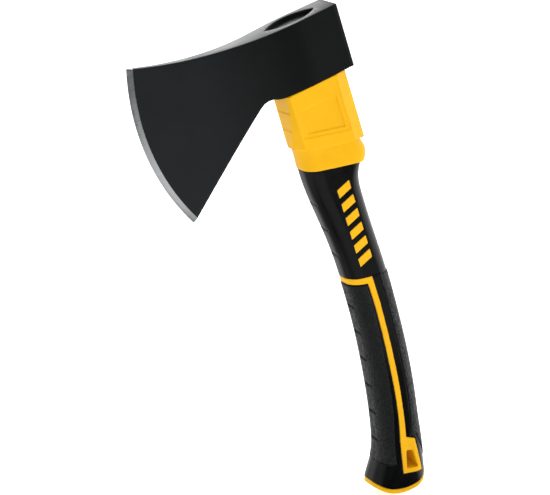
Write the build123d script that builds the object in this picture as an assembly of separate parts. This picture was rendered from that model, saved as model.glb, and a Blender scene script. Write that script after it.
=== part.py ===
from build123d import *
import math
import os

# Hand axe: forged steel head, glass-fibre core, two-colour moulded handle.
# Millimetres. The origin is the middle of the grip, +Z points up the handle to the head,
# the cutting edge faces -X, the flat poll faces +X, and the handle is as wide as Y.

# ---- overall ----
head_reach = 200.0        # middle of the grip up to the underside of the head
butt_reach = 92.5         # middle of the grip down to the lowest point of the butt
eye_offset = 5.0          # the eye's axis stands this far towards the poll from the grip's middle

# ---- head ----
head_depth = 42.0         # length of the eye, underside to top
poll_reach = 29.0         # eye axis to the poll's striking face
edge_reach = 117.3        # eye axis to the foremost point of the cutting edge
edge_radius = 146.0       # radius of the cutting edge's curve
edge_middle = 14.6        # height of the cutting edge's foremost point over the underside
toe_height = 57.5         # height of the upper corner of the cutting edge
heel_drop = 51.0          # depth of the lower corner below the underside
top_flat = 20.0           # length of the level top in front of the eye axis
beard_start = 37.7        # eye axis to where the underside turns down along the beard
throat_radius = 10.0      # round relief where the beard meets the underside
eye_width = 22.8          # head's thickness across the eye
poll_width = 20.4         # head's thickness at the poll
blade_reach = 38.0        # eye axis to where the blade begins
blade_root = 13.6         # head's thickness there
blade_middle = 6.2        # blade's thickness half way to the edge
blade_end = 2.9           # blade's thickness where the grinding starts
bevel_width = 3.6         # ground band along the edge
micro_bevel = 1.2         # steeper last part of the grinding
micro_share = 0.56        # thickness left where it starts, as a share of blade_end
edge_land = 0.24          # thickness left at the cutting edge itself
poll_chamfer = 1.0        # broken edges round the poll

# ---- eye, potting and core ----
eye_length = 36.0
eye_gap_width = 15.4
spigot_height = 6.0       # collar's plug in the bottom of the eye
spigot_clearance = 0.1
potting_recess = 2.8      # resin stands this far below the head's top
core_cover = 4.0          # resin over the top of the core
core_depth = 20.0         # oval glass-fibre core, front to back
core_width = 12.0
core_ahead = 3.0          # core's axis stands this far in front of the eye's axis
core_end = 2.0            # core ends this far below the middle of the grip

# ---- collar ----
collar_drop = 57.3        # underside of the head to the collar's lower edge, at the eye axis
collar_block_drop = 42.0  # underside of the head to the crease over the skirt
collar_slope = 0.25       # lower edge and crease fall towards the poll side by this much
collar_width = 23.2
collar_front = 24.7
collar_back = 23.4
nose_width = 8.0          # flat front of the collar
heel_width = 14.0         # flat back of the collar
nose_taper = 4.4          # length of the front corner facets
heel_taper = 9.0
nose_draw = 3.2           # the nose stands this much further back at the top
nose_steps = 3            # steps in which it comes forward
nose_step = 0.5           # each step's height
skirt_front = 22.9
skirt_back = 22.6         # at the skirt's fullest height
skirt_foot = 18.8         # and at its lower edge
skirt_width = 23.8
skirt_waist = 1.0         # the waist over the skirt is drawn in by this much
skirt_corner = 9.0
skirt_rise = 6.0          # the skirt's fullest height up to its waist
skirt_root = 20.0         # and up to its hidden upper end
skirt_run = 8.0           # the skirt is shaped this far past its foot before it is cut off
skirt_run_draw = 4.0      # and drawn in this much over that length
field_front = 19.0        # shallow field in each side of the collar
field_back = 14.2
field_drop = 34.3
field_shelf = 9.0         # upper part of the field that runs out to the nose
field_depth = 0.5
panel_front = 15.2        # sunk panel within the field
panel_back = 10.7
panel_top = 12.0
panel_drop = 31.4
panel_depth = 0.9
tenon_height = 9.0        # shaft's tongue inside the collar
tenon_depth = 33.0
tenon_width = 17.0
tenon_corner = 6.0
tenon_ahead = 2.0         # tongue's middle stands this far in front of the eye's axis

# ---- handle ----
grip_top = 64.5           # middle of the grip up to the seam between shaft and grip
seam_slope = 0.23         # seam falls towards the back
shaft_width = 22.8
palm_width = 26.4
butt_width = 29.2
hole_width = 28.8         # handle's width at the hanging hole
corner_share = 0.86       # corner radius as a share of half the width
skin = 2.6                # thickness of the black skin over the yellow body
pad_stand = 0.4           # soft pads stand this much proud of the skin
stripe_up = 0.43          # heights at which the stripe is given: this share of the way up to the seam,
stripe_down = 0.39        # and this share of the way down to the butt
stripe_fronts = [-1.1, -1.6, -3.9, -8.3]  # its front edge: at the top, stripe_up, middle, stripe_down
stripe_backs = [3.1, 2.6, 0.4, -4.0]      # its back edge at the same heights
stripe_foot = 5.0         # stripe's width where it meets the frame
pad_gap = 0.9             # smooth strip between the front pad and the stripe, at the top
pad_gap_growth = 0.026    # and how fast it widens down the grip
rear_gap = 5.0            # smooth strip between the stripe and the rear pad
ring_gap = 1.0            # smooth line between the ring and the front pad
rear_turn = (-2.4, 3.6)   # rear pad's lower front end, from the frame's upper back corner
rear_heel = (2.0, 2.4)    # and where its back edge leaves it
tip_slope = 6.4           # steepness of the rear pad's pointed lower end
ring_height = 4.4
butt_radius = 34.0        # the butt's domed end, seen from the side
butt_ahead = 12.5         # its lowest point stands this far in front of the grip's middle
rim_height = 3.0          # yellow butt plate under the black skin
rim_shift = 1.2           # its upper edge is moved back, so that the plate is thicker at the front
rim_inset = 0.4
flare_start = 13.2        # lowest point of the butt up to the front pad's lower end, at x = 0
flare_slope = 0.46        # which falls towards the back
notch_height = 2.0
notch_depth = 1.0
notch_reach = 9.0        # length of a notch round the front
notch_pitch = 19.5
notch_drop = 76.5         # underside of the head to the first notch
notch_gap = 19.0          # seam to the first notch in the grip

# ---- inlaid bars on the shaft ----
bar_count = 6
bar_middle = 2.3          # bars' middle, towards the poll from the grip's middle
bar_drop = 15.0           # collar's lower edge to the first bar's middle
bar_height = 6.0
bar_pitch = 10.0
bar_width = 10.0
bar_depth = 0.5
bar_slant = 3.0           # each bar's front end is this much lower

# ---- hanging hole ----
hole_above_butt = 21.3    # middle of the hole over the lowest point of the butt
hole_ahead = 9.2          # middle of the hole in front of the grip's middle
hole_height = 12.7
hole_top_width = 4.2
hole_bottom_width = 8.2
hole_lean = 0.13          # the hole leans with the handle
hole_fall = 0.36          # its upper and lower edges fall towards the back
frame_wall = 3.3          # yellow frame round the hole
pocket_height = 5.0       # shallow pocket over the hole
pocket_depth = 1.0

beyond = 60.0             # cutters reach this far past what they cut

to_head = Pos(eye_offset, 0, head_reach)


def side_slab(*edges):
    """A closed outline in the side view, as a slab right through the axe's width."""
    face = make_face(Curve() + list(edges))
    return extrude(Plane.XZ * face, amount=beyond, both=True)


def below(height_at_zero, slope):
    """Everything under a plane that falls by slope towards +X."""
    far = 4 * beyond
    high = height_at_zero + slope * far
    low = height_at_zero - slope * far
    return side_slab(Polyline((-far, high), (far, low), (far, -2 * far), (-far, -2 * far), close=True))


# ---------------------------------------------------------------- head
def edge_x(height):
    """Where the cutting edge's curve stands at a height over the underside."""
    centre = edge_radius - edge_reach
    return centre - math.sqrt(edge_radius**2 - (height - edge_middle) ** 2)


def head_side():
    """The head seen from the side, with the edge's curve and the swept-up top."""
    toe = (edge_x(toe_height), toe_height)
    heel = (edge_x(-heel_drop), -heel_drop)
    foremost = (-edge_reach, edge_middle)
    top_front = (-top_flat, head_depth)
    throat_front = (-beard_start, 0)
    along_beard = (throat_front[0] - heel[0], throat_front[1] - heel[1])
    throat_chord = 2 * throat_radius * along_beard[1] / math.hypot(*along_beard)
    throat_back = (-beard_start + throat_chord, 0)
    return side_slab(
        Line((poll_reach, 0), (poll_reach, head_depth)),
        Line((poll_reach, head_depth), top_front),
        TangentArc(top_front, toe, tangent=(-1, 0)),
        ThreePointArc(toe, foremost, heel),
        Line(heel, throat_front),
        TangentArc(throat_front, throat_back, tangent=along_beard),
        Line(throat_back, (poll_reach, 0)),
    )


def head_plan():
    """The head seen from above: full at the eye, hollow towards the edge."""
    tip = -edge_reach - 2
    root = -blade_reach
    middle = (root + tip) / 2
    cheek = Spline(
        (0, eye_width / 2),
        (root, blade_root / 2),
        (middle, blade_middle / 2),
        (tip, blade_end / 2),
        tangents=[(-1, 0), (-1, -0.02)],
    )
    side = cheek + Line((0, eye_width / 2), (poll_reach, poll_width / 2))
    outline = side + mirror(side, Plane.XZ)
    outline += Line((poll_reach, poll_width / 2), (poll_reach, -poll_width / 2))
    outline += Line((tip, blade_end / 2), (tip, -blade_end / 2))
    return extrude(make_face(outline), amount=2 * beyond, both=True)


def bevel_cutter():
    """What the grinding takes off one side: a ring with a slanted inner face."""
    width_at_start = blade_end / 2
    start = edge_radius - bevel_width
    micro_start = edge_radius - micro_bevel
    micro_half = width_at_start * micro_share
    slope = (width_at_start - micro_half) / (micro_start - start)
    reach = 4.0
    profile = Polyline(
        (edge_radius, edge_land / 2),
        (micro_start, micro_half),
        (start - reach, width_at_start + slope * reach),
        (edge_radius + reach, width_at_start + slope * reach),
        (edge_radius + reach, edge_land / 2),
        close=True,
    )
    ring = revolve(make_face(profile), axis=Axis.Y, revolution_arc=360)
    return Pos(edge_radius - edge_reach, 0, edge_middle) * ring


def eye_outline(clearance=0.0):
    """The pointed oval of the eye."""
    half_length = eye_length / 2 - clearance
    half_width = eye_gap_width / 2 - clearance
    arc = ThreePointArc((-half_length, 0), (0, half_width), (half_length, 0))
    return make_face(arc + mirror(arc, Plane.XZ))


def core_outline():
    return Pos(-core_ahead, 0) * Ellipse(core_depth / 2, core_width / 2)


def axe_head():
    blank = head_side() & head_plan()
    cutter = bevel_cutter()
    blank = blank - cutter - mirror(cutter, Plane.XZ)
    poll_face = blank.faces().sort_by(Axis.X)[-1]
    blank = chamfer(poll_face.edges(), poll_chamfer)
    blank -= extrude(eye_outline(), amount=beyond)
    return to_head * blank


def eye_potting():
    height = head_depth - potting_recess - spigot_height
    plug = Pos(0, 0, spigot_height) * extrude(eye_outline(), amount=height)
    core = extrude(core_outline(), amount=head_depth - potting_recess - core_cover)
    return to_head * (plug - core)


def fibreglass_core():
    top = head_depth - potting_recess - core_cover
    length = top + head_reach + core_end
    return to_head * Pos(0, 0, top) * extrude(core_outline(), amount=-length)


# ---------------------------------------------------------------- collar
def collar_prism(height):
    """The collar's eight-sided plan, pulled down to a height."""
    half = collar_width / 2
    side = Polyline(
        (-collar_front, 0),
        (-collar_front, nose_width / 2),
        (-collar_front + nose_taper, half),
        (collar_back - heel_taper, half),
        (collar_back, heel_width / 2),
        (collar_back, 0),
    )
    return extrude(make_face(side + mirror(side, Plane.XZ)), amount=-height)


def nose_cutter():
    """What is taken off the nose, which comes forward in steps on its way down."""
    run = (collar_block_drop - collar_slope * collar_front) / nose_steps
    draw = nose_draw / nose_steps
    profile = [(-collar_front + nose_draw, 0)]
    for i in range(nose_steps):
        x = -collar_front + nose_draw - i * draw
        z = -(i + 1) * run
        profile.append((x - draw + nose_step, z + nose_step))
        profile.append((x - draw, z))
    far = -2 * beyond
    return side_slab(Polyline(*profile, (far, profile[-1][1]), (far, 0), close=True))


def field(front, back, top, bottom, depth):
    """A sunk field in both sides of the collar whose lower edge follows the crease."""
    outline = side_slab(
        Polyline(
            (-front, -top),
            (back, -top),
            (back, -bottom - collar_slope * back),
            (-front, -bottom + collar_slope * front),
            close=True,
        )
    )
    inside = Box(4 * beyond, collar_width - 2 * depth, 4 * beyond)
    return outline - inside


def skirt():
    """The barrel-shaped skirt: drawn in at the waist, full below it, flush with the shaft at its foot."""
    waist_back = skirt_back - skirt_waist
    waist_width = skirt_width - skirt_waist
    full = (collar_block_drop + collar_drop) / 2 + collar_slope * skirt_back
    foot = collar_drop + collar_slope * skirt_back
    sections = []
    for drop, back, width in [
        (full - skirt_root, waist_back - skirt_waist, waist_width),
        (full - skirt_rise, waist_back, waist_width),
        (full, skirt_back, skirt_width),
        (foot, skirt_foot, skirt_width - skirt_waist / 2),
        (foot + skirt_run, skirt_foot - skirt_run_draw, waist_width),
    ]:
        plan = RectangleRounded(skirt_front + back, width, skirt_corner)
        sections.append(Pos((back - skirt_front) / 2, 0, -drop) * plan)
    return loft(sections)


def overstrike_collar():
    crease = below(-collar_block_drop, collar_slope)
    lower_edge = below(-collar_drop, collar_slope)
    collar = collar_prism(2 * beyond) - crease - nose_cutter()
    collar -= field(field_front, field_back, 0, field_drop, field_depth)
    collar -= field(beyond, -field_front, 0, field_shelf, field_depth)
    collar -= field(panel_front, panel_back, panel_top, panel_drop, field_depth + panel_depth)
    collar += (skirt() & crease) - lower_edge
    collar += extrude(eye_outline(spigot_clearance), amount=spigot_height)
    collar -= Pos(0, 0, -collar_drop) * shaft_tenon()
    collar -= Pos(0, 0, spigot_height) * extrude(core_outline(), amount=-2 * beyond)
    return to_head * collar


def shaft_tenon():
    """The shaft's tongue, from under its slanted shoulder up into the collar."""
    foot = collar_slope * tenon_depth
    height = tenon_height + foot
    block = extrude(RectangleRounded(tenon_depth, tenon_width, tenon_corner), amount=height)
    return Pos(-tenon_ahead, 0, -foot) * block


# ---------------------------------------------------------------- handle
def stations():
    """Height, front, back and width of the handle, from inside the collar down past the butt."""
    collar_end = head_reach - collar_drop
    neck = (collar_end - 25 + grip_top) / 2
    return [
        (collar_end + 12, -17.8, 26.0, shaft_width + 0.4),
        (collar_end - 4, -17.7, 22.8, shaft_width + 0.4),
        (collar_end - 14, -17.1, 18.0, shaft_width),
        (collar_end - 25, -15.9, 17.0, shaft_width),
        (neck, -13.0, 17.3, shaft_width),
        (grip_top, -12.0, 18.0, shaft_width + 0.8),
        (grip_top * 0.45, -12.8, 17.2, (shaft_width + palm_width) / 2),
        (0, -15.2, 15.3, palm_width),
        (-butt_reach * 0.32, -19.2, 11.9, palm_width),
        (-butt_reach * 0.54, -23.2, 8.7, palm_width + 0.4),
        (-butt_reach * 0.69, -27.8, 6.6, (palm_width + butt_width) / 2),
        (-butt_reach * 0.82, -36.0, 4.2, hole_width),
        (-butt_reach * 0.95, -41.2, 1.9, butt_width),
        (-butt_reach - 8, -43.5, -3.2, butt_width),
    ]


def handle(inset):
    """The handle's outer shape drawn in by inset, or swelled where inset is negative."""
    sections = []
    for height, front, back, width in stations():
        depth = back - front - 2 * inset
        breadth = width - 2 * inset
        corner = breadth / 2 * corner_share
        place = Pos((front + back) / 2, 0, height)
        sections.append(place * RectangleRounded(depth, breadth, corner))
    return loft(sections)


def butt_arc(lift=0.0, shift=0.0):
    """The domed end of the butt as a cutter, raised by lift and moved back by shift."""
    middle = -butt_reach + butt_radius + lift
    ahead = shift - butt_ahead
    left = (ahead - butt_radius, middle)
    lowest = (ahead, middle - butt_radius)
    right = (ahead + butt_radius, middle)
    far = 2 * beyond
    return side_slab(
        ThreePointArc(left, lowest, right),
        Polyline(right, (far, middle), (far, -2 * far), (-far, -2 * far), (-far, middle), left),
    )


def hole_outline(border, top_extra=0.0):
    """The hanging hole's slanted four-sided outline, grown by border."""
    z = -butt_reach + hole_above_butt
    top = hole_height / 2 + border + top_extra
    bottom = -hole_height / 2 - border
    top_half = hole_top_width / 2 + border
    bottom_half = hole_bottom_width / 2 + border
    top_x = -hole_ahead + hole_lean * top
    bottom_x = -hole_ahead + hole_lean * bottom
    return [
        (top_x - top_half, z + top + hole_fall * top_half),
        (top_x + top_half, z + top - hole_fall * top_half),
        (bottom_x + bottom_half, z + bottom - hole_fall * bottom_half),
        (bottom_x - bottom_half, z + bottom + hole_fall * bottom_half),
    ]


def frame_corners():
    """Outer corners of the yellow frame: top front, top back, bottom back, bottom front."""
    return hole_outline(frame_wall, pocket_height)


def stripe_front():
    """Points down the front edge of the yellow side stripe, from the ring to the frame."""
    under_ring = grip_top - ring_height - seam_slope * stripe_fronts[0]
    heights = [under_ring, grip_top * stripe_up, 0, -butt_reach * stripe_down]
    return list(zip(stripe_fronts, heights)) + [frame_corners()[0]]


def stripe_back():
    """Points down the back edge of the stripe, from over the seam to the frame."""
    heights = [grip_top + ring_height, grip_top * stripe_up, 0, -butt_reach * stripe_down]
    x, z = frame_corners()[0]
    return list(zip(stripe_backs, heights)) + [(x + stripe_foot, z)]


def yellow_slab():
    """The ring round the front, the stripe down each side and the frame of the hole."""
    front = stripe_front()
    back = stripe_back()
    corners = frame_corners()
    far = -2 * beyond
    lower = (far, front[0][1] - seam_slope * far)
    upper = (far, back[0][1] - seam_slope * far)
    return side_slab(
        Polyline(front[0], lower, upper, back[0]),
        Spline(*back),
        Polyline(back[-1], *corners[1:], corners[0]),
        Spline(*front[::-1]),
    )


def front_pad_slab():
    """The textured field of the front pad, from under the ring to the flare of the butt."""
    line = []
    for x, z in [*stripe_front(), frame_corners()[3]]:
        line.append((x - pad_gap - pad_gap_growth * (grip_top - z), z))
    line[0] = (line[0][0], grip_top)
    far = -2 * beyond
    field = side_slab(
        Spline(*line),
        Polyline(line[-1], (far, line[-1][1]), (far, line[0][1]), line[0]),
    )
    field &= below(grip_top - ring_height - ring_gap, seam_slope)
    return field - below(-butt_reach + flare_start, flare_slope)


def rear_pad_slab():
    """The textured field of the rear pad, ending in a point behind the hanging hole."""
    x, z = frame_corners()[1]
    turn = (x + rear_turn[0], z + rear_turn[1])
    heel = (x + rear_heel[0], z + rear_heel[1])
    tip = (heel[0] + beyond, heel[1] - tip_slope * beyond)
    line = [(x + rear_gap, z) for x, z in stripe_back()[:-1]]
    return side_slab(
        Spline(*line, turn),
        Polyline(turn, heel, tip, (tip[0], line[0][1]), line[0]),
    ) & below(grip_top, seam_slope)


def notches(first, count):
    """Cutters for narrow grooves across the front of the handle, one pitch apart."""
    cuts = []
    for i in range(count):
        height = first - i * notch_pitch
        cuts.append(Pos(-beyond / 2, 0, height) * Box(beyond, notch_reach, notch_height))
    return Part() + cuts - handle(notch_depth)


def bars():
    """Slanted bars let into both sides of the shaft."""
    top = head_reach - collar_drop - bar_drop
    plates = []
    for i in range(bar_count):
        z = top - i * bar_pitch
        half = bar_height / 2
        front = bar_middle - bar_width / 2
        back = bar_middle + bar_width / 2
        corners = [
            (front, z + half - bar_slant / 2),
            (back, z + half + bar_slant / 2),
            (back, z - half + bar_slant / 2),
            (front, z - half - bar_slant / 2),
        ]
        plates.append(side_slab(Polyline(*corners, close=True)))
    middle = Box(4 * beyond, shaft_width - 2 * bar_depth, 8 * beyond)
    return handle(0) & (Part() + plates) - middle


outer = handle(0)
inner = handle(skin)
proud = handle(-pad_stand)
yellow = yellow_slab()
core = fibreglass_core()
bar_plates = bars()
below_seam = below(grip_top, seam_slope)
skin_space = below_seam - butt_arc(rim_height, rim_shift) - inner - yellow


def shaft_jacket():
    shaft = outer & to_head * below(-collar_drop, collar_slope)
    shaft -= below_seam
    shaft += to_head * Pos(0, 0, -collar_drop) * shaft_tenon()
    return shaft - core - bar_plates - notches(head_reach - notch_drop, 3)


def grip_body():
    region = below_seam - butt_arc()
    body = (inner & region) + (outer & yellow & region)
    body += handle(rim_inset) & butt_arc(rim_height, rim_shift) - butt_arc()
    body -= side_slab(Polyline(*hole_outline(0), close=True))
    pocket = side_slab(Polyline(*hole_outline(0, pocket_height), close=True))
    pocket -= Box(4 * beyond, hole_width - 2 * pocket_depth, 8 * beyond)
    return body - pocket - core


def grip_skin():
    return (outer & skin_space) - front_pad_slab() - rear_pad_slab()


def front_grip_pad():
    pad = proud & skin_space & front_pad_slab()
    return pad - notches(grip_top - notch_gap, 6)


def rear_grip_pad():
    return proud & skin_space & rear_pad_slab()


nodes = {
    "axe_head": axe_head(),
    "eye_potting": eye_potting(),
    "fibreglass_core": core,
    "overstrike_collar": overstrike_collar(),
    "shaft_jacket": shaft_jacket(),
    "shaft_bars": bar_plates,
    "grip_body": grip_body(),
    "grip_skin": grip_skin(),
    "front_grip_pad": front_grip_pad(),
    "rear_grip_pad": rear_grip_pad(),
}

os.makedirs("parts", exist_ok=True)
for name, solid in nodes.items():
    solid.label = name
    export_step(solid, f"parts/{name}.step")
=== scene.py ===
import math

import bmesh
import bpy
from mathutils import Matrix, Vector


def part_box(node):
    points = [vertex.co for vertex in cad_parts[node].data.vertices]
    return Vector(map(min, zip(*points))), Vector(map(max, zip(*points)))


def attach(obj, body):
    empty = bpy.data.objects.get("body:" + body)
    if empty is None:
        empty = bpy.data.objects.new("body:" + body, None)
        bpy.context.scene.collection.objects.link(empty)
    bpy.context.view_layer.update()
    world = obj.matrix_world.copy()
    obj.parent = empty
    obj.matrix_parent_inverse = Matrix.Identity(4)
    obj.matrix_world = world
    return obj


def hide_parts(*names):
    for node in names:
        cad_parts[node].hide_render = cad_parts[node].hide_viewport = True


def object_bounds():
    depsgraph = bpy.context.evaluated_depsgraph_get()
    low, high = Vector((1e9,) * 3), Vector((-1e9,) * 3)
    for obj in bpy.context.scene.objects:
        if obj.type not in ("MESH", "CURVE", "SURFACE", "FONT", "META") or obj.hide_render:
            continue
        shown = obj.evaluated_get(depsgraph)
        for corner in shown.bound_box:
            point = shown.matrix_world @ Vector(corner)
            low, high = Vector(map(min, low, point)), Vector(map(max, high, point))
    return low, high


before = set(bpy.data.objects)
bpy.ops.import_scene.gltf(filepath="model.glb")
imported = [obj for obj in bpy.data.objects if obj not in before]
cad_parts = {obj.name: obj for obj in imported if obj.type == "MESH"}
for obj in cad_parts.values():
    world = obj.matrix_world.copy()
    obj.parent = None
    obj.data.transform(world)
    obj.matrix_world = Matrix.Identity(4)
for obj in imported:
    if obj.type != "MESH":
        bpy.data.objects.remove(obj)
CAD_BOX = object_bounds()

# Hand axe: enamelled head with a ground edge, moulded two-colour handle. Metres.
# The frame's origin is the middle of the grip, +Z points up to the head, -X to the edge.

MM = 0.001
MIX_A, MIX_B, MIX_RESULT = 6, 7, 2       # a mix node's two colours in, and its colour out

HEAD_LOW, HEAD_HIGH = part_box("axe_head")
POLL_REACH = 29 * MM                     # the eye's axis to the poll's face
EYE_X = HEAD_HIGH.x - POLL_REACH         # the eye's axis
UNDERSIDE = HEAD_HIGH.z - 57.5 * MM      # the level underside of the head
EYE_DEPTH = 42 * MM
EYE_HALF_LENGTH, EYE_HALF_WIDTH = 18 * MM, 7.7 * MM
TOP_FRONT = -20 * MM                     # in front of here the level top sweeps up to the toe
TOP_RUN, TOP_RISE = 90.85 * MM, 15.5 * MM
BEARD = -37.7 * MM                       # in front of here the underside falls along the beard
BEARD_RUN, BEARD_FALL = (101.75 - 37.7) * MM, 51.0 * MM
THROAT_RADIUS = 10 * MM

EDGE_RADIUS = 146 * MM                   # the cutting edge's curve, its foremost point and height
EDGE_FRONT = HEAD_LOW.x - EYE_X
EDGE_HEIGHT = 14.6 * MM
GROUND_BAND = 3.6 * MM                   # bright ground band along the edge
MICRO_BAND = 1.2 * MM                    # its steeper outer part
EDGE_HALF, MICRO_HALF = 0.12 * MM, 0.81 * MM   # half the thickness at the edge and where that part starts
CORNER_BREAK = 0.55 * MM                 # size of the head's broken corners
SLIVER = 0.1 * MM                        # slack when comparing places


# ---------------------------------------------------------------- small helpers
def srgb(code):
    """A hex colour as linear red, green, blue and alpha."""
    parts = [int(code[i:i + 2], 16) / 255 for i in (1, 3, 5)]
    return tuple(c / 12.92 if c <= 0.04045 else ((c + 0.055) / 1.055) ** 2.4 for c in parts) + (1.0,)


def activate(piece):
    """Selects one piece alone."""
    bpy.ops.object.select_all(action="DESELECT")
    piece.select_set(True)
    bpy.context.view_layer.objects.active = piece


def edit(piece):
    """Opens a piece in edit mode with nothing selected."""
    activate(piece)
    bpy.ops.object.mode_set(mode="EDIT")
    bpy.ops.mesh.select_all(action="DESELECT")
    return bmesh.from_edit_mesh(piece.data)


def close_edit():
    bpy.ops.object.mode_set(mode="OBJECT")


def select_edges(mesh, wanted):
    """Selects the edges that wanted picks, in edge mode."""
    bpy.ops.mesh.select_mode(type="EDGE")
    bpy.ops.mesh.select_all(action="DESELECT")
    for edge in mesh.edges:
        edge.select_set(wanted(edge))


def apply_modifier(piece, kind, **settings):
    """Adds a modifier, sets it and applies it."""
    activate(piece)
    modifier = piece.modifiers.new(kind.title(), kind)
    for key, value in settings.items():
        setattr(modifier, key, value)
    bpy.ops.object.modifier_apply(modifier=modifier.name)


def welded_copy(node, name):
    """A welded copy of a CAD node under a new name."""
    piece = bpy.data.objects.new(name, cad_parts[node].data.copy())
    bpy.context.scene.collection.objects.link(piece)
    edit(piece)
    bpy.ops.mesh.select_all(action="SELECT")
    bpy.ops.mesh.remove_doubles(threshold=0.002 * MM)
    close_edit()
    return piece


def take_place(piece, node, slot, *materials):
    """Puts a finished piece in its CAD node's place, with its finish."""
    if len(materials) == 1:
        piece.data.materials.clear()
        piece.data.materials.append(materials[0])
    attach(piece, "root")
    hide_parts(node)


# ---------------------------------------------------------------- materials
def new_material(name, ior=1.5, **values):
    """A node material with these constants on its shader's own sockets."""
    material = bpy.data.materials.new(name)
    material.use_nodes = True
    shader = material.node_tree.nodes["Principled BSDF"]
    shader.inputs["IOR"].default_value = ior
    for key, value in values.items():
        shader.inputs[key.replace("_", " ")].default_value = value
    return material, shader


def add(material, kind, links=None, inputs=None, **settings):
    """Adds a node with its settings, its input values and the links that feed it."""
    node = material.node_tree.nodes.new(kind)
    for key, value in settings.items():
        setattr(node, key, value)
    for key, value in (inputs or {}).items():
        node.inputs[key].default_value = value
    for key, source in (links or {}).items():
        material.node_tree.links.new(source, node.inputs[key])
    return node


def link(material, shader, **sources):
    """Feeds the shader's sockets."""
    for key, source in sources.items():
        material.node_tree.links.new(source, shader.inputs[key.replace("_", " ")])


def per_metre(size):
    """A pattern's scale for features of this size in millimetres."""
    return 1 / (size * MM)


def black_baked_enamel():
    """Black baked enamel, sprayed on a forging: a satin film with faint orange peel and handling haze,
    and painted shading that makes it greyer from the eye towards the blade's edge."""
    material, shader = new_material("black_baked_enamel", Specular_IOR_Level=0.2)
    place = add(material, "ShaderNodeTexCoord").outputs["Object"]
    peel = add(material, "ShaderNodeTexNoise", {"Vector": place}, {"Scale": per_metre(1.5), "Detail": 2.0})
    haze = add(material, "ShaderNodeTexNoise", {"Vector": place}, {"Scale": per_metre(24), "Detail": 4.0})
    axes = add(material, "ShaderNodeSeparateXYZ", {"Vector": place}).outputs
    # painted shading: the enamel turns greyer from the eye towards the edge, standing in for light on the
    # blade
    painted_edge_light = add(material, "ShaderNodeMapRange", {"Value": axes["X"]},
                    {"From Min": 10 * MM, "From Max": -75 * MM, "To Min": 0.0, "To Max": 0.85},
                    interpolation_type="SMOOTHSTEP")
    # random handling haze plus the painted edge light
    haze_and_painted_light = add(material, "ShaderNodeMath",
                  {0: haze.outputs["Fac"], 2: painted_edge_light.outputs["Result"]},
                  {1: 0.15}, operation="MULTIPLY_ADD")
    tone = add(material, "ShaderNodeMix", {"Factor": haze_and_painted_light.outputs[0]},
               {MIX_A: srgb("#040606"), MIX_B: srgb("#181c1d")}, data_type="RGBA")
    gloss = add(material, "ShaderNodeMapRange", {"Value": haze.outputs["Fac"]},
                {"From Min": 0.3, "From Max": 0.7, "To Min": 0.34, "To Max": 0.43})
    film = add(material, "ShaderNodeBump", {"Height": peel.outputs["Fac"]},
               {"Strength": 0.12, "Distance": 0.1 * MM})
    link(material, shader, Base_Color=tone.outputs[MIX_RESULT], Roughness=gloss.outputs["Result"],
         Normal=film.outputs["Normal"])
    return material


def ground_steel():
    """Tool steel off a belt grinder: bright, with fine marks running back from the edge."""
    material, shader = new_material("ground_tool_steel", Metallic=1.0)
    place = add(material, "ShaderNodeTexCoord").outputs["Object"]
    along = add(material, "ShaderNodeMapping", {"Vector": place}, {"Scale": (0.05, 0.3, 1.0)})
    # 80-grit marks are 0.2 mm apart; drawn at 0.5 mm so that they show
    marks = add(material, "ShaderNodeTexNoise", {"Vector": along.outputs["Vector"]},
                {"Scale": per_metre(0.5), "Detail": 3.0})
    tone = add(material, "ShaderNodeMix", {"Factor": marks.outputs["Fac"]},
               {MIX_A: srgb("#c6c9cb"), MIX_B: srgb("#eceeef")}, data_type="RGBA")
    gloss = add(material, "ShaderNodeMapRange", {"Value": marks.outputs["Fac"]},
                {"From Min": 0.3, "From Max": 0.7, "To Min": 0.26, "To Max": 0.42})
    grooves = add(material, "ShaderNodeBump", {"Height": marks.outputs["Fac"]},
                  {"Strength": 0.35, "Distance": 0.05 * MM})
    link(material, shader, Base_Color=tone.outputs[MIX_RESULT], Roughness=gloss.outputs["Result"],
         Normal=grooves.outputs["Normal"])
    return material


def cast_epoxy():
    """Black epoxy poured into the eye: glossy, a little uneven where it set."""
    material, shader = new_material("cast_black_epoxy", ior=1.55, Specular_IOR_Level=0.3)
    place = add(material, "ShaderNodeTexCoord").outputs["Object"]
    pour = add(material, "ShaderNodeTexNoise", {"Vector": place}, {"Scale": per_metre(5), "Detail": 2.0})
    tone = add(material, "ShaderNodeMix", {"Factor": pour.outputs["Fac"]},
               {MIX_A: srgb("#020303"), MIX_B: srgb("#060708")}, data_type="RGBA")
    gloss = add(material, "ShaderNodeMapRange", {"Value": pour.outputs["Fac"]},
                {"To Min": 0.3, "To Max": 0.55})
    skin = add(material, "ShaderNodeBump", {"Height": pour.outputs["Fac"]},
               {"Strength": 0.5, "Distance": 0.4 * MM})
    link(material, shader, Base_Color=tone.outputs[MIX_RESULT], Roughness=gloss.outputs["Result"],
         Normal=skin.outputs["Normal"])
    return material


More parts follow.
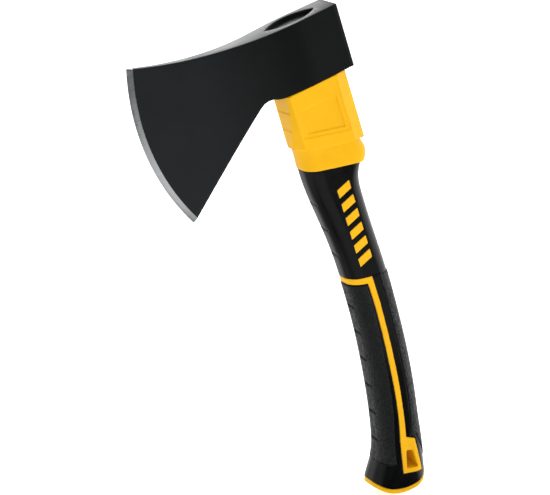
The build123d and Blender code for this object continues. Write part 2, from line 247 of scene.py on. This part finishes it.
def yellow_polypropylene():
    """Injection-moulded yellow polypropylene: waxy satin from a finely spark-eroded mould."""
    material, shader = new_material("yellow_polypropylene", ior=1.49, Specular_IOR_Level=0.15,
                                    Subsurface_Weight=0.06, Subsurface_Scale=1.2 * MM)
    place = add(material, "ShaderNodeTexCoord").outputs["Object"]
    flow = add(material, "ShaderNodeTexNoise", {"Vector": place}, {"Scale": per_metre(18), "Detail": 3.0})
    # the mould's grain is 0.1 mm; drawn at 0.6 mm so that it shows
    grain = add(material, "ShaderNodeTexNoise", {"Vector": place}, {"Scale": per_metre(0.6), "Detail": 2.0})
    tone = add(material, "ShaderNodeMix", {"Factor": flow.outputs["Fac"]},
               {MIX_A: srgb("#dea300"), MIX_B: srgb("#e8b000")}, data_type="RGBA")
    gloss = add(material, "ShaderNodeMapRange", {"Value": grain.outputs["Fac"]},
                {"From Min": 0.3, "From Max": 0.7, "To Min": 0.33, "To Max": 0.47})
    skin = add(material, "ShaderNodeBump", {"Height": grain.outputs["Fac"]},
               {"Strength": 0.1, "Distance": 0.1 * MM})
    link(material, shader, Base_Color=tone.outputs[MIX_RESULT], Roughness=gloss.outputs["Result"],
         Normal=skin.outputs["Normal"])
    return material


def black_polypropylene():
    """Injection-moulded black polypropylene from a polished mould: deep black with a soft gloss."""
    material, shader = new_material("black_polypropylene", ior=1.49, Specular_IOR_Level=0.22)
    place = add(material, "ShaderNodeTexCoord").outputs["Object"]
    flow = add(material, "ShaderNodeTexNoise", {"Vector": place}, {"Scale": per_metre(14), "Detail": 3.0})
    grain = add(material, "ShaderNodeTexNoise", {"Vector": place}, {"Scale": per_metre(0.7), "Detail": 1.0})
    tone = add(material, "ShaderNodeMix", {"Factor": flow.outputs["Fac"]},
               {MIX_A: srgb("#040506"), MIX_B: srgb("#08090a")}, data_type="RGBA")
    gloss = add(material, "ShaderNodeMapRange", {"Value": flow.outputs["Fac"]},
                {"From Min": 0.3, "From Max": 0.7, "To Min": 0.22, "To Max": 0.32})
    skin = add(material, "ShaderNodeBump", {"Height": grain.outputs["Fac"]},
               {"Strength": 0.05, "Distance": 0.1 * MM})
    link(material, shader, Base_Color=tone.outputs[MIX_RESULT], Roughness=gloss.outputs["Result"],
         Normal=skin.outputs["Normal"])
    return material


def grip_rubber():
    """Thermoplastic rubber over-moulded on the grip: matt charcoal with a fine leather grain."""
    material, shader = new_material("thermoplastic_rubber", ior=1.48, Specular_IOR_Level=0.3)
    place = add(material, "ShaderNodeTexCoord").outputs["Object"]
    drift = add(material, "ShaderNodeTexNoise", {"Vector": place}, {"Scale": per_metre(3), "Detail": 3.0})
    bent = add(material, "ShaderNodeMix", {"A": place, "B": drift.outputs["Color"]}, {"Factor": 0.002},
               data_type="VECTOR")
    # grain cells are 0.5 to 1 mm; drawn at 1.3 mm so that they show
    cells = add(material, "ShaderNodeTexVoronoi", {"Vector": bent.outputs[1]}, {"Scale": per_metre(1.3)},
                feature="DISTANCE_TO_EDGE")
    speckle = add(material, "ShaderNodeTexNoise", {"Vector": place}, {"Scale": per_metre(0.8), "Detail": 3.0})
    wrinkles = add(material, "ShaderNodeTexNoise", {"Vector": bent.outputs[1]},
                   {"Scale": per_metre(2.6), "Detail": 2.0, "Distortion": 0.8})
    height = add(material, "ShaderNodeMath",
                 {0: cells.outputs["Distance"], 2: wrinkles.outputs["Fac"]},
                 {1: 0.5}, operation="MULTIPLY_ADD")
    tone = add(material, "ShaderNodeMix", {"Factor": speckle.outputs["Fac"]},
               {MIX_A: srgb("#0b0d0e"), MIX_B: srgb("#191b1c")}, data_type="RGBA")
    gloss = add(material, "ShaderNodeMapRange", {"Value": wrinkles.outputs["Fac"]},
                {"From Min": 0.3, "From Max": 0.7, "To Min": 0.3, "To Max": 0.6})
    # the moulded grain is under 0.1 mm deep; drawn much deeper so that it shows
    grain = add(material, "ShaderNodeBump", {"Height": height.outputs[0]},
                {"Strength": 1.0, "Distance": 1.4 * MM})
    link(material, shader, Base_Color=tone.outputs[MIX_RESULT], Roughness=gloss.outputs["Result"],
         Normal=grain.outputs["Normal"])
    return material


def glass_fibre():
    """Pultruded glass fibre in clear resin: pale straw, with strands along the handle."""
    material, shader = new_material("pultruded_glass_fibre", ior=1.52)
    place = add(material, "ShaderNodeTexCoord").outputs["Object"]
    along = add(material, "ShaderNodeMapping", {"Vector": place}, {"Scale": (1.0, 1.0, 0.03)})
    strands = add(material, "ShaderNodeTexNoise", {"Vector": along.outputs["Vector"]},
                  {"Scale": per_metre(0.6), "Detail": 3.0})
    tone = add(material, "ShaderNodeMix", {"Factor": strands.outputs["Fac"]},
               {MIX_A: srgb("#c9bd8e"), MIX_B: srgb("#e6dfbf")}, data_type="RGBA")
    ridges = add(material, "ShaderNodeBump", {"Height": strands.outputs["Fac"]},
                 {"Strength": 0.3, "Distance": 0.1 * MM})
    link(material, shader, Base_Color=tone.outputs[MIX_RESULT], Normal=ridges.outputs["Normal"])
    return material


# ---------------------------------------------------------------- head
def edge_column(front, height):
    """Where a column of the head stands at a height: upright at the eye, curved at the edge."""
    band = EDGE_FRONT + GROUND_BAND
    if front > TOP_FRONT:
        return front
    if front < band:
        radius = EDGE_RADIUS - (front - EDGE_FRONT)
    else:
        radius = (EDGE_RADIUS - GROUND_BAND) * (TOP_FRONT - band) / max(TOP_FRONT - front, 1e-6)
    return front + radius - math.sqrt(radius ** 2 - (height - EDGE_HEIGHT) ** 2)


def top_height(x):
    """The head's top: level over the eye, then swept up to the toe."""
    radius = (TOP_RUN ** 2 + TOP_RISE ** 2) / (2 * TOP_RISE)
    if x > TOP_FRONT:
        return EYE_DEPTH
    return EYE_DEPTH + radius - math.sqrt(radius ** 2 - (x - TOP_FRONT) ** 2)


def bottom_height(x):
    """The head's underside: level at the eye, a round throat, then the straight beard."""
    slope = math.atan2(BEARD_FALL, BEARD_RUN)
    centre_x = BEARD + THROAT_RADIUS * math.sin(slope)
    centre_z = -THROAT_RADIUS * math.cos(slope)
    if x < BEARD:
        return math.tan(slope) * (x - BEARD)
    if x > 2 * centre_x - BEARD:
        return 0.0
    return centre_z + math.sqrt(THROAT_RADIUS ** 2 - (x - centre_x) ** 2)


def meet(front, boundary, start):
    """The height where a column meets the top or the underside."""
    height = start
    for _ in range(40):
        height = (height + boundary(edge_column(front, height))) / 2
    return height


def half_thickness(front, x):
    """Half the head's thickness, read off the CAD head at a height where it is whole, or the grinding's."""
    if front < EDGE_FRONT + SLIVER:
        return EDGE_HALF
    if front < EDGE_FRONT + MICRO_BAND + SLIVER:
        return MICRO_HALF
    behind_band = max(x, EDGE_FRONT + GROUND_BAND + SLIVER)
    outside = Vector((EYE_X + behind_band, -60 * MM, UNDERSIDE + EDGE_HEIGHT))
    outside.x = min(outside.x, HEAD_HIGH.x - 2 * MM)
    _, place, _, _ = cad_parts["axe_head"].ray_cast(outside, (0, 1, 0))
    return abs(place.y)


def head_columns():
    """The columns' foremost points, from the poll to the cutting edge."""
    poll_columns, blade_columns = 16, 30
    poll_step = (POLL_REACH - TOP_FRONT) / poll_columns
    blade_step = (TOP_FRONT - EDGE_FRONT - GROUND_BAND) / blade_columns
    poll = [POLL_REACH - i * poll_step for i in range(poll_columns + 1)]
    blade = [TOP_FRONT - i * blade_step for i in range(1, blade_columns + 1)]
    return poll + blade + [EDGE_FRONT + MICRO_BAND, EDGE_FRONT]


def lens(depth):
    """The eye's pointed-oval cutter: where two round bars overlap."""
    radius = (EYE_HALF_LENGTH ** 2 + EYE_HALF_WIDTH ** 2) / (2 * EYE_HALF_WIDTH)
    bars = []
    for side in (-1, 1):
        bpy.ops.mesh.primitive_cylinder_add(vertices=256, radius=radius, depth=depth, location=(
            EYE_X, side * (radius - EYE_HALF_WIDTH), UNDERSIDE + EYE_DEPTH / 2))
        bars.append(bpy.context.object)
    apply_modifier(bars[0], "BOOLEAN", operation="INTERSECT", solver="EXACT", object=bars[1])
    bpy.data.objects.remove(bars[1])
    return bars[0]


def head(enamel, steel):
    """The forged head: a block drawn out to the edge, pierced by the eye, with broken corners."""
    columns = head_columns()
    rows = 26
    bpy.ops.object.select_all(action="DESELECT")
    bpy.ops.mesh.primitive_cube_add(size=1, location=(0.5, 0, 0.5))
    piece = bpy.context.object
    piece.name = "head"
    bpy.ops.object.transform_apply(location=True)
    mesh = edit(piece)
    select_edges(mesh, lambda e: abs(e.verts[0].co.x - e.verts[1].co.x) > 0.5)
    bpy.ops.mesh.subdivide(number_cuts=len(columns) - 2)
    mesh = bmesh.from_edit_mesh(piece.data)
    select_edges(mesh, lambda e: abs(e.verts[0].co.z - e.verts[1].co.z) > 0.5)
    bpy.ops.mesh.subdivide(number_cuts=rows - 1)
    mesh = bmesh.from_edit_mesh(piece.data)
    limits = [(meet(c, bottom_height, 0.0), meet(c, top_height, EYE_DEPTH)) for c in columns]
    for vertex in mesh.verts:
        column = round(vertex.co.x * (len(columns) - 1))
        low, high = limits[column]
        height = low + (high - low) * vertex.co.z
        x = edge_column(columns[column], height)
        side = 1 if vertex.co.y > 0 else -1
        vertex.co = (EYE_X + x, side * half_thickness(columns[column], x), UNDERSIDE + height)
    bpy.ops.mesh.select_all(action="SELECT")
    bpy.ops.mesh.normals_make_consistent(inside=False)
    close_edit()
    cutter = lens(3 * EYE_DEPTH)
    apply_modifier(piece, "BOOLEAN", operation="DIFFERENCE", solver="EXACT", object=cutter)
    bpy.data.objects.remove(cutter)

    centre = Vector((EYE_X + EDGE_FRONT + EDGE_RADIUS, 0, UNDERSIDE + EDGE_HEIGHT))

    def from_centre(point):
        return math.hypot(point.x - centre.x, point.z - centre.z)

    mesh = edit(piece)
    band = EDGE_RADIUS - GROUND_BAND
    select_edges(mesh, lambda e: e.is_manifold and e.calc_face_angle() > math.radians(40)
                 and min(from_centre(v.co) for v in e.verts) < band - 0.2 * MM)
    bpy.ops.mesh.bevel(offset=CORNER_BREAK, segments=3, profile=0.5, clamp_overlap=False)
    mesh = bmesh.from_edit_mesh(piece.data)
    select_edges(mesh, lambda e: all(from_centre(v.co) > band - 0.05 * MM for v in e.verts)
                 and abs(from_centre(e.verts[0].co) - from_centre(e.verts[1].co)) < 0.05 * MM)
    bpy.ops.mesh.mark_sharp()
    close_edit()
    piece.data.materials.append(enamel)
    piece.data.materials.append(steel)
    for face in piece.data.polygons:
        face.material_index = int(from_centre(face.center) > band)
    activate(piece)
    bpy.ops.object.shade_smooth_by_angle(angle=math.radians(32))
    take_place(piece, "axe_head", "head_steel", enamel, steel)


# ---------------------------------------------------------------- moulded pieces
def moulded(node, name, slot, material, voxel=0.4, rounds=5):
    """A moulded piece: its CAD solid re-skinned evenly, with every edge softened as a mould leaves it."""
    piece = welded_copy(node, name)
    apply_modifier(piece, "REMESH", mode="VOXEL", voxel_size=voxel * MM)
    apply_modifier(piece, "SMOOTH", factor=0.5, iterations=rounds)
    activate(piece)
    bpy.ops.object.shade_smooth()
    take_place(piece, node, slot, material)


enamel = black_baked_enamel()
steel = ground_steel()
resin = cast_epoxy()
yellow = yellow_polypropylene()
black = black_polypropylene()
rubber = grip_rubber()

head(enamel, steel)
moulded("eye_potting", "eye_resin", "potting_resin", resin)
moulded("overstrike_collar", "collar", "yellow_plastic", yellow, voxel=0.35, rounds=4)
moulded("shaft_jacket", "shaft", "black_plastic", black)
moulded("shaft_bars", "inlaid_bars", "yellow_plastic", yellow, voxel=0.3, rounds=2)
moulded("grip_body", "grip_frame", "yellow_plastic", yellow)
moulded("grip_skin", "grip_shell", "black_plastic", black)
moulded("front_grip_pad", "front_pad", "grip_rubber", rubber)
moulded("rear_grip_pad", "rear_pad", "grip_rubber", rubber)

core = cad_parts["fibreglass_core"]
core.data.materials.clear()
core.data.materials.append(glass_fibre())


# ---------------------------------------------------------------- stage
BETWEEN_CARDS = 0.03
# axis, where the card fades in and where it is full along it, brightness
WIDE_CARDS = (("Y", 0.1, 0.8, 1.2), ("Z", 0.4, 0.95, 0.7), ("X", -0.78, -0.92, 0.9), ("X", 0.4, 0.8, 1.9))


def softbox(name, place, target, width, height, power):
    """An area light at a place, facing a target."""
    data = bpy.data.lights.new(name, "AREA")
    data.shape = "RECTANGLE"
    data.size = width
    data.size_y = height
    data.energy = power
    lamp = bpy.data.objects.new(name, data)
    lamp.location = place
    lamp.rotation_euler = (Vector(target) - Vector(place)).to_track_quat("-Z", "Y").to_euler()
    lamp.visible_camera = False
    bpy.context.scene.collection.objects.link(lamp)


def stage_floor():
    """A wide pale floor under the butt."""
    bpy.ops.object.select_all(action="DESELECT")
    bpy.ops.mesh.primitive_circle_add(vertices=96, radius=9, fill_type="NGON",
                                      location=(0, 0, CAD_BOX[0].z - 0.0005))
    floor = bpy.context.object
    floor.name = "floor"
    material, shader = new_material("floor_paper", Base_Color=srgb("#f4f4f3"), Roughness=0.95,
                                    Specular_IOR_Level=0.0, Emission_Color=srgb("#ffffff"),
                                    Emission_Strength=0.6)
    floor.data.materials.append(material)
    floor.visible_glossy = False  # black gloss would mirror the pale floor and look grey


def studio():
    """Soft light: a key in front and a little to the left, a broad top light, a low card in front
    and one behind the head.
    The wide cards are in the world's shader; a camera ray sees plain white there instead."""
    world = bpy.data.worlds.new("studio")
    bpy.context.scene.world = world
    world.use_nodes = True
    facing = add(world, "ShaderNodeTexCoord").outputs["Generated"]
    axes = add(world, "ShaderNodeSeparateXYZ", {"Vector": facing}).outputs
    brightest = None
    for axis, start, full, strength in WIDE_CARDS:
        card = add(world, "ShaderNodeMapRange", {"Value": axes[axis]},
                   {"From Min": start, "From Max": full, "To Min": BETWEEN_CARDS, "To Max": strength},
                   interpolation_type="SMOOTHSTEP").outputs["Result"]
        if brightest:
            card = add(world, "ShaderNodeMath", {0: brightest, 1: card}, operation="MAXIMUM").outputs[0]
        brightest = card
    seen = add(world, "ShaderNodeLightPath").outputs["Is Camera Ray"]
    strength = add(world, "ShaderNodeMix", {"Factor": seen, "A": brightest}, {"B": 1.0}, data_type="FLOAT")
    background = world.node_tree.nodes["Background"]
    background.inputs["Color"].default_value = srgb("#ffffff")
    world.node_tree.links.new(strength.outputs[0], background.inputs["Strength"])
    softbox("key_softbox", (-0.4, -1.7, 1.3), (0, 0, 0.12), 1.2, 1.2, 11)
    softbox("top_softbox", (0.2, 0.5, 2.2), (0, 0, 0), 2.4, 2.4, 18)
    softbox("low_card", (-0.22, -0.5, -0.085), (-0.22, -0.5, 1), 0.74, 0.6, 1.1)
    softbox("back_card", (0.08, 0.62, 0.5), (0, 0, 0.24), 0.5, 0.4, 2.2)


def camera():
    """The studio camera, rolled so that the axe leans to the left."""
    azimuth, elevation, roll = (math.radians(a) for a in (-22.25, 24.19, -17.89))
    back = Vector((math.sin(azimuth) * math.cos(elevation),
                   -math.cos(azimuth) * math.cos(elevation), math.sin(elevation)))
    level = Vector((math.cos(azimuth), math.sin(azimuth), 0))
    upright = back.cross(level)
    right = math.cos(roll) * level + math.sin(roll) * upright
    up = math.cos(roll) * upright - math.sin(roll) * level
    aim = Vector((-0.0567, -0.0156, 0.1159))
    distance = 1.244
    data = bpy.data.cameras.new("studio_camera")
    data.sensor_width = 36
    data.lens = 130.9
    view = bpy.data.objects.new("studio_camera", data)
    turn = Matrix((right, up, back)).transposed().to_4x4()
    view.matrix_world = Matrix.Translation(aim + distance * back) @ turn
    bpy.context.scene.collection.objects.link(view)
    bpy.context.scene.camera = view


stage_floor()
studio()
camera()
bpy.context.scene.view_settings.view_transform = "Standard"
